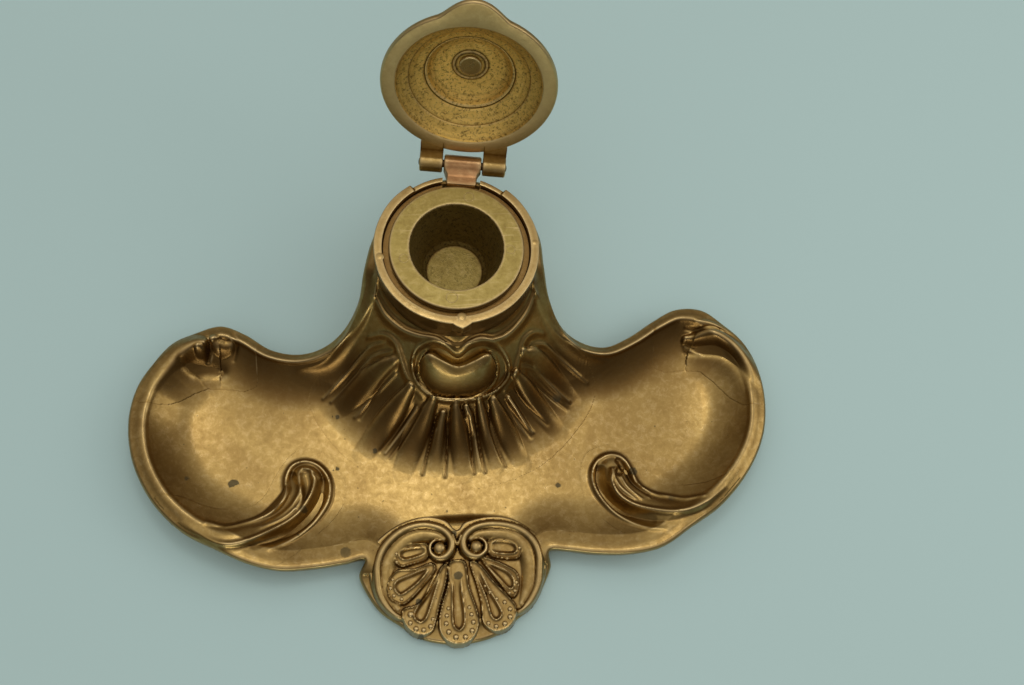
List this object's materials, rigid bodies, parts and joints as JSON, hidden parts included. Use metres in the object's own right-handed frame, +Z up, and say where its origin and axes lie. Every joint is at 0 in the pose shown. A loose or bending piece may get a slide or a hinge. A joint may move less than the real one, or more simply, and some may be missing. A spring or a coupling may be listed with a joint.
{
  "type": "desk inkstand",
  "caption": "Cast brass desk inkstand: a scooped two-lobed pen tray with a shell in front, and a tower with a lift-out ink cup under a hinged domed lid, shown open.",
  "frame": {"origin": "on the table under the middle of the object's box, with the lid open as pictured", "axes": "+X to the right along the two pen lobes, +Y to the back where the hinge is, +Z up; the shell points to -Y"},
  "size_m": [0.21, 0.181, 0.1067],
  "materials": {
    "tray_brass": "cast, polished and worn, with brown patina",
    "lug_brass": "filed, redder alloy",
    "pin_steel": "dark drawn wire",
    "lid_brass": "cast, sand texture inside",
    "knob_brass": "turned and riveted",
    "liner_brass": "cast, scratched flange, brown inside"
  },
  "bodies": {
    "stand": {"tray": "tray_brass", "hinge_lug": "lug_brass", "hinge_pin": "pin_steel"},
    "lid": {"lid": "lid_brass", "lid_knob": "knob_brass"},
    "liner": {"ink_liner": "liner_brass"}
  },
  "joints": [
    {"name": "lid_hinge", "type": "hinge", "parent": "stand", "child": "lid", "pos_m": [0.00442, 0.05651, 0.0485], "axis": [0.9936, -0.1132, 0], "range_deg": [0, 106.5]},
    {"name": "liner_lift", "type": "slide", "parent": "stand", "child": "liner", "axis": [0, 0, 1], "range_m": [0, 0.07]}
  ]
}
